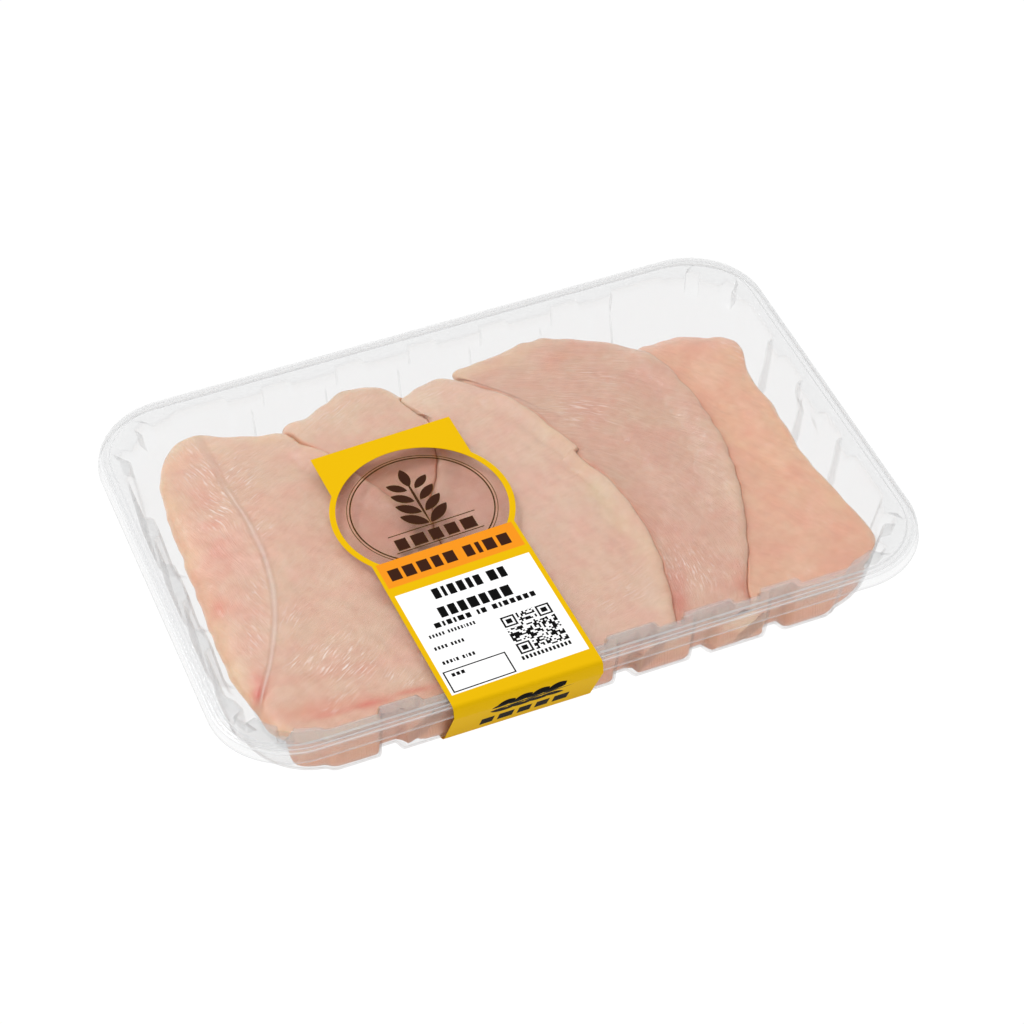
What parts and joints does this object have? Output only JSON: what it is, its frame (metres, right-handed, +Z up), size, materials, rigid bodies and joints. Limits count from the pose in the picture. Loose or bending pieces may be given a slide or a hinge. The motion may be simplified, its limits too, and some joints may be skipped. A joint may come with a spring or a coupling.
{
  "type": "raw chicken breast",
  "caption": "Raw chicken breast fillets that overlap like tiles in a clear ribbed tray, sealed with clear film and a label that folds over the near edge.",
  "frame": {"origin": "centre of the tray's base, on the surface that it stands on", "axes": "+X along the tray's long side, +Y away from the edge that the label folds over, +Z up"},
  "size_m": [0.2612, 0.1818, 0.036],
  "materials": {
    "clear_tray": "clear rigid film, glossy",
    "lid_film": "clear film, glossy, stretched",
    "label": "coated paper, satin",
    "meat_pink": "wet raw meat, pale pink",
    "meat_cream": "wet raw meat, pale cream",
    "meat_orange": "wet raw meat, pale peach",
    "meat_lower": "wet raw meat, pale peach"
  },
  "bodies": {
    "root": {"tray": "clear_tray", "lid_film": "lid_film", "label": "label", "fillet_top_1": "meat_pink", "fillet_top_2": "meat_pink", "fillet_top_3": "meat_cream", "fillet_top_4": "meat_cream", "fillet_top_5": "meat_orange", "fillet_low_1": "meat_lower", "fillet_low_2": "meat_lower", "fillet_low_3": "meat_lower", "fillet_low_4": "meat_lower", "fillet_low_5": "meat_lower"}
  },
  "joints": []
}
